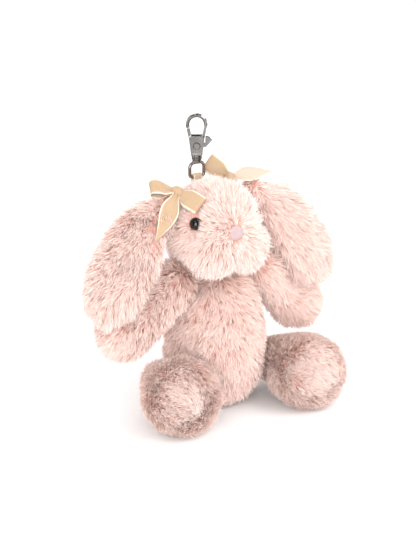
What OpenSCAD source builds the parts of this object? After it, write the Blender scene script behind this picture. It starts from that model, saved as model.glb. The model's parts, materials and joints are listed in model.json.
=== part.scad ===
// Plush lop-eared bunny keychain: stuffed fur body, ribbon bows and a
// trigger-snap clasp on a sewn ribbon loop.
// Millimetres. +Z up, the face looks towards -Y, the seat's centre is the origin.
// Every fur solid is the shell as it feels when pressed lightly; the loose
// tips of the pile stand about 2.5 mm further out.

/* [Body] */
// Radius of the belly at its widest
body_r = 24.5; // [20:0.5:30]
// Height of the widest part of the belly
belly_z = 28; // [24:0.5:34]
// Height of the neck seam
neck_z = 74; // [68:0.5:84]
// Radius of the neck seam
neck_r = 7; // [5:0.5:10]
// Radius of the flat seat
seat_r = 10.5; // [7:0.5:14]
// Thickness of the fur fabric
fur_t = 2.5; // [1.5:0.1:3]
// Gap between a shell and its filling
fill_gap = 0.2; // [0.1:0.05:0.5]

/* [Pellet pouch] */
// Radius of the pouch of plastic pellets
pouch_r = 13; // [9:0.5:15]
// Height of the pouch
pouch_h = 11; // [7:0.5:14]

/* [Head] */
// Radius of the head
head_r = 22.3; // [19:0.1:25]
// Height of the head's centre above the neck seam
head_rise = 21; // [18:0.5:23]
// Radius of each cheek
cheek_r = 12; // [9:0.5:14]
// Distance of each cheek from the middle of the face
cheek_x = 7.5; // [5:0.5:9]
// How far each cheek's centre stands forward of the head's
cheek_y = 12; // [9:0.5:14]
// How far each cheek's centre is below the head's
cheek_drop = 7; // [4:0.5:9]

/* [Face] */
// Radius of an eye
eye_r = 3.3; // [2.5:0.1:4]
// Height of an eye's dome
eye_dome = 2.9; // [2:0.1:3.5]
// How deep an eye's seat is pressed into the fur
eye_sink = 1.2; // [0.6:0.1:1.8]
// How far round from the front each eye sits, in degrees
eye_turn = 59; // [40:1:70]
// How far above the head's equator each eye sits, in degrees
eye_lift = 19.5; // [5:0.5:30]
// Radius of an eye's shank
shank_r = 1.2; // [0.8:0.1:1.5]
// Length of an eye's shank
shank_l = 6; // [5:0.5:8]
// Radius of the lock washer
washer_r = 3.2; // [2.4:0.1:4]
// Thickness of the lock washer
washer_t = 0.8; // [0.5:0.1:1.2]
// Width of the stitched nose
nose_w = 8; // [5:0.5:10]
// Height of the stitched nose
nose_h = 8; // [5:0.5:10]
// Thickness of the stitches over the fabric
nose_t = 1.2; // [0.8:0.1:2]
// Height of the nose above the head's centre
nose_rise = 2.5; // [0:0.5:6]

/* [Ears] */
// Half of an ear's greatest width
ear_half_w = 13.5; // [9:0.5:15]
// Half of an ear's thickness
ear_half_t = 4.2; // [3:0.1:5]
// Radius of the gathered root of an ear
ear_root_r = 5; // [4:0.1:6]
// Gap between an ear's root and the head, which its stitches pull shut
ear_gap = 3.3; // [2.5:0.1:4.5]

/* [Arms] */
// Radius of an arm at the shoulder
shoulder_r = 8.8; // [6:0.1:9.2]
// Radius of a paw
paw_r = 11.5; // [9:0.1:12]

/* [Legs] */
// Radius of a leg at the hip
hip_r = 7.5; // [6:0.1:7.8]
// Radius of a foot
foot_r = 18; // [15:0.1:18.2]

/* [Tail] */
// Radius of the tail
tail_r = 8.5; // [6:0.5:11]
// Height of the tail
tail_z = 20; // [14:0.5:30]
// How deep the tail is sewn into the back
tail_sink = 0.8; // [0.4:0.1:2]

/* [Ribbon] */
// Width of the ribbon in the bows
ribbon_w = 10; // [7:0.5:12]
// Thickness of a ribbon folded on itself
ribbon_t = 1.2; // [0.8:0.1:1.6]
// Width of the hanging loop
loop_w = 5; // [4:0.25:5.5]
// Thickness of the hanging loop
loop_t = 0.8; // [0.5:0.1:1.2]
// Sideways place of the hanging loop
loop_x = -2; // [-4:0.5:4]
// Distance of the hanging loop behind the head's middle
loop_y = 15; // [12:0.5:16]
// Height of the swivel eye's bar above the fur
loop_rise = 7.1; // [5.5:0.1:10]

/* [Clasp] */
// Radius of the wire of the swivel eye
eye_wire_r = 0.85; // [0.6:0.05:1]
// Inside width of the swivel eye
bail_w = 6.6; // [6.2:0.1:8]
// Height of the swivel eye, bar centre to top centre
bail_h = 7.5; // [7:0.1:9]
// Length of the clasp from the bar's centre to the hook's top
clasp_l = 33; // [31:0.5:38]
// Inside radius of the hook's round top
hook_r = 3.8; // [3.4:0.1:4.2]
// Width of the hook's metal, across the ring
hook_wall = 1.7; // [1.3:0.1:2]
// Thickness of the hook's ring, front to back
hook_t = 2.4; // [1.8:0.1:2.8]
// Thickness of the clasp's body, front to back
case_t = 5; // [4.6:0.1:5.4]
// Thickness of the gate lever
gate_t = 1.8; // [1.4:0.1:2]
// Gap on each side of the gate lever
gate_gap = 0.15; // [0.1:0.05:0.25]
// Radius of the rivet
rivet_r = 0.8; // [0.6:0.05:0.9]
// Radial clearance of the gate on the rivet and of the stem in the collar
turn_gap = 0.06; // [0.03:0.01:0.09]
// Radius of the swivel stem
stem_r = 1; // [0.8:0.05:1.1]
// Depth of the recessed panel on the clasp's body
panel_d = 0.4; // [0.2:0.05:0.5]

/* [Hidden] */

right = -1;
left = 1;
far = 100;
tiny = 0.01;
arc_steps = 10;

fur_pink = "#f3d5cb";
filling_white = "#f7f4ee";
velvet_cream = "#ecd2a8";
steel_grey = "#b4b0ae";

head_c = [0, 0, neck_z + head_rise];
cheeks = [for (s = [right, left]) head_c + [s * cheek_x, -cheek_y, -cheek_drop]];

// The belly is half an ellipse above its widest part and half an ellipse below it.
body_rise = (neck_z - belly_z) / sqrt(1 - pow(neck_r / body_r, 2));
body_drop = belly_z / sqrt(1 - pow(seat_r / body_r, 2));

// Ends of each limb: the seam that it turns on, and the middle of its paw or foot.
shoulder_z = neck_z - 4;
shoulder_x = belly(shoulder_z - shoulder_r, 0) + shoulder_r - 0.8;
shoulders = [for (s = [right, left]) [s * shoulder_x, -3, shoulder_z]];
paws = [shoulders[0] + [-30.3, -3, -20], shoulders[1] + [28.3, 7, -27]];
hip_x = body_r + hip_r + 0.5;
hips = [for (s = [right, left]) [s * hip_x, 1, 16]];
feet = [at_foot([-35, -27], 1.095), at_foot([38, -32], 1.399)];

// Each ear hangs along a curve through a root, a bend and a tip,
// with its flat face towards ear_face.
ear_root_d = head_r + ear_root_r + ear_gap;
ear_roots = [for (s = [right, left]) head_c + ear_root_d * unit([s * 26.5, 5, 15])];
ear_bends = ear_roots + [[-29, -12, -17], [19, -12, -16]];
ear_tips = ear_roots + [[-44, -17, -48], [31, -17, -48]];
ear_faces = [[-0.6, -0.7, 0.35], [0.15, -0.93, 0.33]];
ear_rings = 14;
ear_sides = 16;

// The bows' knots, each held off the head's fur by the loops under it.
knot_r = 3.4;
knots = [ear_roots[0] + [6.226, -1.449, 5.78],
    head_c + (head_r + knot_r + 1.8) * unit([14.5, 9, 21.5])];
loop_root_r = 0.35 * ribbon_w;

// Clasp heights, all above the bar of the swivel eye.
fur_z = head_c[2] + sqrt(pow(head_r, 2) - pow(loop_x, 2) - pow(loop_y, 2));
bar_c = [loop_x, loop_y, fur_z + loop_rise];
clasp_turn = -30;
eye_top_z = bail_h + eye_wire_r;
collar_z = eye_top_z + 0.8;
collar_h = 2.5;
collar_r = 2.7;
case_z = collar_z + collar_h;
pivot_z = case_z + 4.95;
ring_z = clasp_l - hook_wall - hook_r;
eye_seat = head_r - eye_sink;
slot_z = case_z + 2.1;
stem_head_r = 1.55;
stem_head_h = 1.1;
stem_room = 0.2;
case_half_bottom = 2.9;
case_half_top = 4;
case_top = pivot_z + 4.2;
gate_hub_r = 1.7;
rivet_head_r = 1.9;
nose_end = 200;
heel_end = -15;

// ---------- helpers ----------

function unit(v) = v / norm(v);

// Middle of a foot that rests on the ground, as many of its radii out from the belly as apart says.
function at_foot(way, apart) = concat((body_r + apart * foot_r) * unit(way), [foot_r]);

function bend(a, b, c, t) = (1 - t) * (1 - t) * a + 2 * t * (1 - t) * b + t * t * c;
function bend_way(a, b, c, t) = unit((1 - t) * (b - a) + t * (c - b));

// Carries the +Z axis to the line from one point to another.
module along(from, to) {
    d = to - from;
    translate(from)
        rotate([0, acos(d[2] / norm(d)), atan2(d[1], d[0])])
            children();
}

// Outline of a stuffed tube with a round end at each end, for turning about +Z.
module limb_outline(r_root, r_end, length, inset) {
    lean = asin((r_end - r_root) / length);
    polygon(concat(
        [[0, -r_root + inset]],
        [for (i = [1:arc_steps]) let (a = -90 + (90 - lean) * i / arc_steps)
            (r_root - inset) * [cos(a), sin(a)]],
        [for (i = [0:arc_steps - 1]) let (a = -lean + (90 + lean) * i / arc_steps)
            [0, length] + (r_end - inset) * [cos(a), sin(a)]],
        [[0, length + r_end - inset]]));
}

module limb_skin(from, to, r_root, r_end) {
    color(fur_pink) along(from, to) rotate_extrude($fn = 48) difference() {
        limb_outline(r_root, r_end, norm(to - from), 0);
        limb_outline(r_root, r_end, norm(to - from), fur_t);
    }
}

module limb_filling(from, to, r_root, r_end) {
    color(filling_white) along(from, to) rotate_extrude($fn = 48)
        limb_outline(r_root, r_end, norm(to - from), fur_t + fill_gap);
}

// ---------- body ----------

function belly(z, inset) = let (reach = z > belly_z ? body_rise : body_drop)
    (body_r - inset) * sqrt(1 - pow((z - belly_z) / (reach - inset), 2));

module body_form(inset) {
    low = inset;
    high = neck_z - inset;
    steps = 24;
    rotate_extrude($fn = 64)
        polygon(concat([[0, low]],
            [for (i = [0:steps]) let (z = low + (high - low) * i / steps) [belly(z, inset), z]],
            [[0, high]]));
}

module body_skin() {
    color(fur_pink) difference() {
        body_form(0);
        body_form(fur_t);
    }
}

// A stuffed cloth bag, flat below and crowned above.
module pouch_form(gap) {
    translate([0, 0, fur_t + fill_gap + 0.4 - gap]) rotate_extrude($fn = 48)
        polygon(concat([[0, 0]],
            [for (i = [0:arc_steps]) let (a = 90 * i / arc_steps)
                [(pouch_r + gap) * pow(cos(a), 0.6) * (1 - 0.35 * pow(cos(a), 8)),
                 (pouch_h + 2 * gap) * sin(a)]]));
}

module body_filling() {
    color(filling_white) difference() {
        body_form(fur_t + fill_gap);
        pouch_form(fill_gap);
    }
}

module pellet_pouch() {
    color("white") pouch_form(0);
}

module tail_form(inset) {
    translate([0, belly(tail_z, 0) + tail_r - tail_sink, tail_z])
        sphere(r = tail_r - inset, $fn = 40);
}

module tail_skin() {
    color(fur_pink) difference() {
        tail_form(0);
        tail_form(fur_t);
    }
}

module tail_filling() {
    color(filling_white) tail_form(fur_t + fill_gap);
}

// ---------- head ----------

module head_form(inset) {
    difference() {
        union() {
            translate(head_c) sphere(r = head_r - inset, $fn = 64);
            for (c = cheeks) translate(c) sphere(r = cheek_r - inset, $fn = 48);
        }
        translate([-far / 2, -far / 2, neck_z + inset - far]) cube([far, far, far]);
    }
}

// Carries +Z to the line on which an eye's shank lies, from the head's centre out.
module at_eye(side) {
    translate(head_c)
        rotate([0, 0, side * eye_turn])
            rotate([90 - eye_lift, 0, 0])
                children();
}

module eye_room(side) {
    at_eye(side) {
        translate([0, 0, eye_seat]) cylinder(r = eye_r + fill_gap, h = far / 4, $fn = 48);
        translate([0, 0, eye_seat - shank_l - fill_gap])
            cylinder(r = shank_r + turn_gap, h = far / 4, $fn = 32);
    }
}

module washer_room(side) {
    at_eye(side) translate([0, 0, washer_z() - fill_gap])
        cylinder(r = washer_r + fill_gap, h = head_r, $fn = 40);
}

function washer_z() = head_r - fur_t - fill_gap - washer_t - 0.4;

module head_skin() {
    color(fur_pink) difference() {
        head_form(0);
        head_form(fur_t);
        for (s = [right, left]) eye_room(s);
    }
}

module head_filling() {
    color(filling_white) difference() {
        head_form(fur_t + fill_gap);
        for (s = [right, left]) {
            eye_room(s);
            washer_room(s);
        }
    }
}

// A domed plastic eye with the shank that goes through the face.
module eye(side) {
    color("#1c1a19") at_eye(side) translate([0, 0, eye_seat]) rotate_extrude($fn = 48)
        polygon(concat([[0, -shank_l], [shank_r, -shank_l], [shank_r, 0]],
            [for (i = [0:arc_steps]) let (a = 90 * i / arc_steps)
                [eye_r * cos(a), eye_dome * sin(a)]]));
}

module eye_washer(side) {
    color("white") at_eye(side) translate([0, 0, washer_z()]) rotate_extrude($fn = 40)
        translate([shank_r + turn_gap / 2, 0])
            square([washer_r - shank_r - turn_gap / 2, washer_t]);
}

module nose_embroidery() {
    nose_y = -sqrt(pow(head_r, 2) - pow(nose_rise, 2)) - nose_t / 2;
    color("#cdb3b4") translate(head_c + [0, nose_y, nose_rise])
        scale([nose_w / 2, nose_t, nose_h / 2]) sphere(r = 1, $fn = 40);
}

// ---------- ears ----------

// Half widths along an ear: gathered at the root, widest past the middle, round at the tip.
function ear_swell(t) = sin(90 * min(1, 0.28 + 1.3 * t)) * sqrt(1 - pow(max(0, (t - 0.72) / 0.29), 2));
function ear_slim(t) = sqrt(1 - pow(max(0, (t - 0.8) / 0.21), 2));

function ear_ring(a, b, c, face, t) =
    let (way = bend_way(a, b, c, t),
         across = unit(cross(way, face)),
         out = cross(across, way),
         half_w = max(ear_root_r * 0.9, ear_half_w * ear_swell(t)) * ear_slim(t),
         half_t = (ear_half_t + (ear_root_r * 0.9 - ear_half_t) * max(0, 1 - 3 * t)) * ear_slim(t))
    [for (j = [0:ear_sides - 1]) let (turn = 360 * j / ear_sides)
        bend(a, b, c, t) + half_w * cos(turn) * across + half_t * sin(turn) * out];

module ear(k) {
    a = ear_roots[k];
    b = ear_bends[k];
    c = ear_tips[k];
    rings = [for (i = [0:ear_rings]) ear_ring(a, b, c, ear_faces[k], i / ear_rings)];
    n = ear_sides;
    last = ear_rings * n;
    color(fur_pink) union() {
        translate(a) sphere(r = ear_root_r, $fn = 32);
        polyhedron(
            points = [for (ring = rings) each ring],
            faces = concat(
                [[for (j = [0:n - 1]) n - 1 - j]],
                [for (i = [0:ear_rings - 1], j = [0:n - 1]) let (next = (j + 1) % n)
                    [i * n + j, i * n + next, (i + 1) * n + next, (i + 1) * n + j]],
                [[for (j = [0:n - 1]) last + j]]),
            convexity = 4);
    }
}

// ---------- bows ----------

// A pressed loop of ribbon from a knot to its rounded end, whose middle is end away.
module bow_loop(knot, end, face) {
    root = knot + (knot_r + loop_root_r + 0.15) * unit(end);
    hull() {
        along(root, root + face) scale([1, 1, 0.12]) sphere(r = loop_root_r, $fn = 24);
        along(knot + end, knot + end + face) scale([1, 1, 0.3]) sphere(r = ribbon_w / 2, $fn = 24);
    }
}

// A flat tail of ribbon that ends in a point.
module bow_tail_strip(from, to, face) {
    way = unit(to - from);
    across = unit(cross(way, face));
    half = ribbon_w / 2 - 0.8;
    hull() {
        for (s = [-1, 1], t = [0.15, 0.7]) translate(from + t * (to - from) + s * half * across)
            sphere(r = ribbon_t / 2, $fn = 12);
        for (p = [from, to]) translate(p) sphere(r = ribbon_t / 2, $fn = 12);
    }
}

module right_bow_loops() {
    color(velvet_cream) {
        bow_loop(knots[0], [4.2, -10.3, -3.4], [-0.65, -0.28, 0.71]);
        bow_loop(knots[0], [-9.2, 3.1, 2], [0, -0.5, 0.85]);
    }
}

module left_bow_loops() {
    color(velvet_cream) {
        bow_loop(knots[1], [-5.3, 7.9, 5.5], [-0.55, -0.68, 0.44]);
        bow_loop(knots[1], [5, 10.5, -4], [0.5, 0.1, 0.86]);
    }
}

module bow_knot(k) {
    color(velvet_cream) translate(knots[k]) scale([1, 0.8, 1]) sphere(r = knot_r, $fn = 32);
}

module right_bow_tail() {
    c = knots[0];
    color(velvet_cream)
        bow_tail_strip(c + [-4.7, -4.1, -1.6], c + [-20.5, -15.7, -17.5], [-0.16, -0.93, 0.32]);
}

module left_bow_tail() {
    c = knots[1];
    color(velvet_cream)
        bow_tail_strip(c + [3.9, -0.6, 2.2], c + [23, -2.4, 1.4], [0.1, -0.6, 0.8]);
}

// ---------- hanging loop and clasp ----------

// The ribbon goes over the bar and both ends are sewn into the head's seam.
module hanging_loop() {
    inner = eye_wire_r + 0.2;
    outer = inner + loop_t;
    slope_drop = 1.6 * loop_t;
    sewn = 0.8;
    leg = loop_rise + sewn;
    color(velvet_cream) translate(bar_c - [loop_w / 2, 0, 0]) rotate([90, 0, 90])
        linear_extrude(loop_w) {
            difference() {
                circle(r = outer, $fn = 40);
                circle(r = inner, $fn = 40);
                translate([-outer - 1, -outer - 1]) square([2 * outer + 2, outer + 1]);
            }
            translate([-outer, -leg]) square([loop_t, leg]);
            translate([inner, -leg - slope_drop]) square([loop_t, leg + slope_drop]);
        }
}

module at_clasp() {
    translate(bar_c) rotate([0, 0, clasp_turn]) children();
}

// A wire corner of a quarter turn in the XZ plane, from the +X side to the +Z side.
module wire_corner(at, turn, r) {
    translate(at) rotate([90, 0, 0]) rotate([0, 0, turn])
        rotate_extrude(angle = 90, $fn = 48) translate([r, 0]) circle(r = eye_wire_r, $fn = 24);
}

module swivel_eye() {
    half = bail_w / 2 + eye_wire_r;
    low_r = 1.5;
    high_r = 2.6;
    color(steel_grey) translate(bar_c) {
        for (s = [-1, 1]) translate([s * half, 0, low_r])
            cylinder(r = eye_wire_r, h = bail_h - low_r - high_r, $fn = 24);
        translate([-half + low_r, 0, 0]) rotate([0, 90, 0])
            cylinder(r = eye_wire_r, h = 2 * (half - low_r), $fn = 24);
        translate([-half + high_r, 0, bail_h]) rotate([0, 90, 0])
            cylinder(r = eye_wire_r, h = 2 * (half - high_r), $fn = 24);
        wire_corner([half - low_r, 0, low_r], 270, low_r);
        wire_corner([-half + low_r, 0, low_r], 180, low_r);
        wire_corner([half - high_r, 0, bail_h - high_r], 0, high_r);
        wire_corner([-half + high_r, 0, bail_h - high_r], 90, high_r);
        rotate_extrude($fn = 40) polygon([
            [0, bail_h], [1.9, bail_h], [2.3, eye_top_z - 0.2], [2.3, collar_z - stem_room],
            [stem_r, collar_z - stem_room], [stem_r, case_z - 0.2 + stem_room],
            [stem_head_r, case_z - 0.2 + stem_room],
            [stem_head_r, case_z - 0.2 + stem_room + stem_head_h],
            [0, case_z - 0.2 + stem_room + stem_head_h]]);
    }
}

// The clasp's body narrows from the ring to the collar.
module case_outline(inset) {
    polygon([[-case_half_bottom + inset, case_z + inset], [case_half_bottom - inset, case_z + inset],
        [case_half_top - inset, case_top - inset], [case_half_top - 0.9 - inset, case_top + 0.9 - 2 * inset],
        [-case_half_top + 0.9 + inset, case_top + 0.9 - 2 * inset], [-case_half_top + inset, case_top - inset]]);
}

// Lays a drawing of X and Z flat in the XZ plane, as a plate of thickness t.
module upright(t) {
    translate([0, t / 2, 0]) rotate([90, 0, 0]) linear_extrude(t) children();
}

module clasp_hook() {
    slot_t = gate_t + 2 * gate_gap;
    chamfer = 0.45;
    heel_inset = 0.3;
    half_t = hook_t / 2;
    color(steel_grey) at_clasp() difference() {
        union() {
            // round top of the hook
            translate([0, 0, ring_z]) rotate([90, 0, 0]) rotate([0, 0, heel_end])
                rotate_extrude(angle = nose_end - heel_end, $fn = 64) translate([hook_r, 0]) polygon([
                    [0, -half_t + chamfer], [chamfer, -half_t], [hook_wall - chamfer, -half_t],
                    [hook_wall, -half_t + chamfer], [hook_wall, half_t - chamfer],
                    [hook_wall - chamfer, half_t], [chamfer, half_t], [0, half_t - chamfer]]);
            // back of the hook, from inside the ring's end down into the body
            upright(hook_t - heel_inset) polygon([
                [(hook_r + heel_inset) * cos(heel_end + 8), ring_z + hook_r * sin(heel_end + 8)],
                [(hook_r + hook_wall - heel_inset) * cos(heel_end + 8),
                 ring_z + (hook_r + hook_wall) * sin(heel_end + 8)],
                [case_half_top, case_top - 0.6], [case_half_top - 1.6, case_top - 0.6]]);
            upright(case_t) case_outline(0);
            // grooved collar
            translate([0, 0, collar_z]) rotate_extrude($fn = 40) polygon([
                [0, 0], [collar_r - 0.3, 0], [collar_r, 0.3], [collar_r, 0.8], [collar_r - 0.35, 1],
                [collar_r - 0.35, 1.3], [collar_r, 1.5], [collar_r, collar_h + 0.5],
                [0, collar_h + 0.5]]);
        }
        // recessed panels, front and back
        for (s = [-1, 1]) translate([0, s * (case_t / 2 - panel_d / 2 + 0.5), 0])
            upright(panel_d + 1) case_outline(0.8);
        // slot for the gate, and its way out for the thumb tab
        upright(slot_t) polygon([
            [-far / 10, slot_z], [far / 10, slot_z], [far / 10, pivot_z + 1.8],
            [1.9, pivot_z + 2.2], [1.9, case_top + 2], [-far / 10, case_top + 2]]);
        // rivet
        translate([0, 0, pivot_z]) rotate([90, 0, 0])
            cylinder(r = rivet_r, h = case_t + 2, center = true, $fn = 32);
        // bore and room for the stem's head
        translate([0, 0, collar_z - 1]) cylinder(r = stem_r + turn_gap, h = case_z - collar_z + 1, $fn = 32);
        translate([0, 0, case_z - 0.2]) cylinder(r = stem_head_r + stem_room, h = stem_head_h + 2 * stem_room, $fn = 32);
    }
}

module clasp_gate() {
    tip = (hook_r + hook_wall / 2);
    tip_z = ring_z + tip * sin(nose_end) - 0.35;
    color(steel_grey) at_clasp() difference() {
        union() {
            translate([0, 0, pivot_z]) rotate([90, 0, 0])
                cylinder(r = gate_hub_r, h = gate_t, center = true, $fn = 40);
            // arm that shuts the hook's mouth
            upright(gate_t) polygon([
                [0, pivot_z - gate_hub_r + tiny], [0.6, pivot_z + 1.5], [-2.5, case_top - 0.4],
                [-3.55, tip_z], [-5.1, tip_z - 0.5], [-3.9, case_top - 1.2], [-1.6, pivot_z - 0.5]]);
            // neck and thumb tab
            upright(gate_t) polygon([
                [0, pivot_z - 1.4], [3.9, pivot_z - 0.9], [4.9, pivot_z - 0.6], [6.3, pivot_z + 1],
                [7.8, pivot_z + 2.6], [6.4, pivot_z + 4.3], [4.5, pivot_z + 4.7],
                [4.3, pivot_z + 0.9], [0, pivot_z + 1.4]]);
        }
        translate([0, 0, pivot_z]) rotate([90, 0, 0])
            cylinder(r = rivet_r + turn_gap, h = case_t, center = true, $fn = 32);
    }
}

// A closely wound spring that pushes the neck of the gate up.
module gate_spring() {
    turns = 3;
    coil_r = 0.75;
    wire = 0.3;
    spring_h = pivot_z - 1.45 - slot_z;
    pitch = spring_h / turns;
    color(steel_grey) at_clasp() translate([2, 0, slot_z]) rotate_extrude($fn = 24) polygon(concat(
        [[coil_r - wire, 0]],
        [for (i = [0:turns - 1], s = [0, 0.5, 1])
            [coil_r + (s == 0.5 ? wire / 2 : 0), pitch * (i + max(tiny, min(s, 1 - tiny)))]],
        [[coil_r - wire, spring_h]]));
}

module gate_rivet() {
    color(steel_grey) at_clasp() translate([0, 0, pivot_z]) rotate([90, 0, 0]) {
        cylinder(r = rivet_r, h = case_t - 2 * panel_d, center = true, $fn = 32);
        for (s = [-1, 1]) scale([1, 1, s]) translate([0, 0, case_t / 2 - panel_d])
            cylinder(r1 = rivet_head_r, r2 = rivet_head_r - 0.35, h = 0.5, $fn = 40);
    }
}

head_skin();
head_filling();
body_skin();
body_filling();
pellet_pouch();
ear(0);  // right_ear
ear(1);  // left_ear
limb_skin(shoulders[0], paws[0], shoulder_r, paw_r);  // right_arm_skin
limb_filling(shoulders[0], paws[0], shoulder_r, paw_r);  // right_arm_filling
limb_skin(shoulders[1], paws[1], shoulder_r, paw_r);  // left_arm_skin
limb_filling(shoulders[1], paws[1], shoulder_r, paw_r);  // left_arm_filling
limb_skin(hips[0], feet[0], hip_r, foot_r);  // right_leg_skin
limb_filling(hips[0], feet[0], hip_r, foot_r);  // right_leg_filling
limb_skin(hips[1], feet[1], hip_r, foot_r);  // left_leg_skin
limb_filling(hips[1], feet[1], hip_r, foot_r);  // left_leg_filling
tail_skin();
tail_filling();
eye(right);  // right_eye
eye(left);  // left_eye
eye_washer(right);  // right_eye_washer
eye_washer(left);  // left_eye_washer
nose_embroidery();
hanging_loop();
right_bow_loops();
bow_knot(0);  // right_bow_knot
right_bow_tail();
left_bow_loops();
bow_knot(1);  // left_bow_knot
left_bow_tail();
swivel_eye();
clasp_hook();
clasp_gate();
gate_spring();
gate_rivet();
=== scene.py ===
# Plush lop-eared bunny on a trigger snap: long soft pile over stuffed skins,
# two velvet bows, black plastic eyes, a stitched nose and a plated clasp.
# Metres. +Z up, the face looks towards -Y, the seat's centre is the origin.
import json
import math

import bmesh
import bpy
import numpy as np
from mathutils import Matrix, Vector
from mathutils.bvhtree import BVHTree


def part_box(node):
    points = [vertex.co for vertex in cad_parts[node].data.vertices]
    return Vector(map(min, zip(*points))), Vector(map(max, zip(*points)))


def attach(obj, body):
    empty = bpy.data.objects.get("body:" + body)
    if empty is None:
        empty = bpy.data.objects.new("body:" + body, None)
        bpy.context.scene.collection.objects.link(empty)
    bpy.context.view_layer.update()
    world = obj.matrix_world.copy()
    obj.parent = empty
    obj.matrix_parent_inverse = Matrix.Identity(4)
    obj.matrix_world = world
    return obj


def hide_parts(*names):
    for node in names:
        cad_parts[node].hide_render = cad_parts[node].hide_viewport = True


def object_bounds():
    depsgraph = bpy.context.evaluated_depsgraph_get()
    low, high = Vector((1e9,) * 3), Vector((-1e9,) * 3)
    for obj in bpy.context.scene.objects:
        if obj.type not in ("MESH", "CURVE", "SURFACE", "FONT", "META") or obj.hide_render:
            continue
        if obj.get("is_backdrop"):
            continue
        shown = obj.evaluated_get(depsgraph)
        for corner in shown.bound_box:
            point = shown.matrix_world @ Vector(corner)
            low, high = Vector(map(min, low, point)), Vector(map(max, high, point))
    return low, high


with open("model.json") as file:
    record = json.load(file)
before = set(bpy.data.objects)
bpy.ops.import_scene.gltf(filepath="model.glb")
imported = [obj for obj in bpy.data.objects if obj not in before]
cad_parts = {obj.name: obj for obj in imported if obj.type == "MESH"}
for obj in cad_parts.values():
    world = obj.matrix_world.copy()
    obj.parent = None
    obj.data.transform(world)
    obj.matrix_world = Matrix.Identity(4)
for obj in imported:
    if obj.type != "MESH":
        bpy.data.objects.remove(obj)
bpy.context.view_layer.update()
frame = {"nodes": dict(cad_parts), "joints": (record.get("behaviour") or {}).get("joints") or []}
scene = bpy.context.scene
mm = 0.001

# ---------- camera ----------
# A short telephoto that looks down a little, from the bunny's right.
camera_turn, camera_lift = math.radians(-30), math.radians(20)
looks = Vector((-math.sin(camera_turn) * math.cos(camera_lift),
                math.cos(camera_turn) * math.cos(camera_lift),
                -math.sin(camera_lift)))
camera = bpy.data.objects.new("camera", bpy.data.cameras.new("camera"))
camera.data.lens = 85
camera.data.sensor_width = 36
camera.data.clip_start = 0.01
camera.location = Vector((-4, 0, 68)) * mm - looks * 0.681
camera.rotation_euler = looks.to_track_quat("-Z", "Y").to_euler()
scene.collection.objects.link(camera)
scene.camera = camera
scene.view_settings.view_transform = "Standard"

# ---------- studio ----------
# A seamless white sweep under soft boxes: a key from the bunny's left, a larger and
# stronger fill low from its right, a faint one from above, and a white tent that fills
# the shadows.
floor_half = 3.0


def linear(hex_colour, alpha=1.0):
    """An sRGB hex colour as the linear values that a shader takes."""
    parts = [int(hex_colour[i:i + 2], 16) / 255 for i in (1, 3, 5)]
    return (*[p / 12.92 if p <= 0.04045 else ((p + 0.055) / 1.055) ** 2.4 for p in parts], alpha)


def node(tree, kind, inputs=None, **settings):
    """Adds a node, sets its properties, and fills or links its sockets."""
    made = tree.nodes.new("ShaderNode" + kind)
    for name, value in settings.items():
        setattr(made, name, value)
    for socket, value in (inputs or {}).items():
        if isinstance(value, bpy.types.NodeSocket):
            tree.links.new(value, made.inputs[socket])
        else:
            made.inputs[socket].default_value = value
    return made


def new_material(name):
    """A material with its tree and its one Principled shader."""
    material = bpy.data.materials.new(name)
    material.use_nodes = True
    return material, material.node_tree, material.node_tree.nodes["Principled BSDF"]


def new_object(name, vertices, faces, material=None):
    """A smooth mesh object from plain lists of points and faces."""
    mesh = bpy.data.meshes.new(name)
    mesh.from_pydata([tuple(v) for v in vertices], [], faces)
    mesh.shade_smooth()
    made = bpy.data.objects.new(name, mesh)
    scene.collection.objects.link(made)
    if material:
        mesh.materials.append(material)
    return made


# Painted board: dead matt white with the faintest unevenness of a rolled coat, in
# patches a ninth of the sweep wide.
board, tree, shader = new_material("matt white board")
grain = node(tree, "TexNoise", {"Scale": 9, "Detail": 3})
tone = node(tree, "Mix", {0: grain.outputs[0], 6: linear("#fbfaf9"), 7: linear("#ffffff")},
            data_type="RGBA")
tree.links.new(tone.outputs[2], shader.inputs["Base Color"])
shader.inputs["Roughness"].default_value = 0.9
shader.inputs["Specular IOR Level"].default_value = 0.1
floor = new_object("floor", [(x, y, 0) for x, y in ((-1, -1), (1, -1), (1, 1), (-1, 1))],
                   [(0, 1, 2, 3)], board)
floor.scale = (floor_half, floor_half, 1)
floor.visible_glossy = False
floor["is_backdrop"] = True

for name, place, aim, size, power in (
        ("key box", (0.55, -0.75, 0.95), (0, 0, 0.06), 0.7, 5.5),
        ("fill box", (-0.75, -0.95, 0.35), (0, 0, 0.04), 0.8, 8),
        ("top box", (0.05, 0.35, 1.15), (0, 0, 0.05), 0.6, 0.8)):
    light = bpy.data.objects.new(name, bpy.data.lights.new(name, "AREA"))
    light.data.energy = power
    light.data.size = size
    light.location = place
    light.rotation_euler = (Vector(aim) - Vector(place)).to_track_quat("-Z", "Y").to_euler()
    scene.collection.objects.link(light)

# The tent is even white, but a mirror finish finds dark gaps between its panels.
world = bpy.data.worlds.new("tent")
world.use_nodes = True
scene.world = world
tree = world.node_tree
panel = node(tree, "TexNoise", {"Vector": node(tree, "TexCoord").outputs["Generated"],
                                "Scale": 3.2, "Detail": 1})
patches = node(tree, "MapRange", {0: panel.outputs[0], 1: 0.50, 2: 0.58, 3: 0.0, 4: 1.0})
mirrored = node(tree, "Mix", {0: patches.outputs[0], 6: linear("#141414"), 7: linear("#ffffff")},
                data_type="RGBA")
path = node(tree, "LightPath")
seen = node(tree, "Mix", {0: path.outputs["Is Glossy Ray"], 6: linear("#ffffff"),
                          7: mirrored.outputs[2]}, data_type="RGBA")
tree.links.new(seen.outputs[2], tree.nodes["Background"].inputs["Color"])
tree.nodes["Background"].inputs["Strength"].default_value = 1.12

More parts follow.
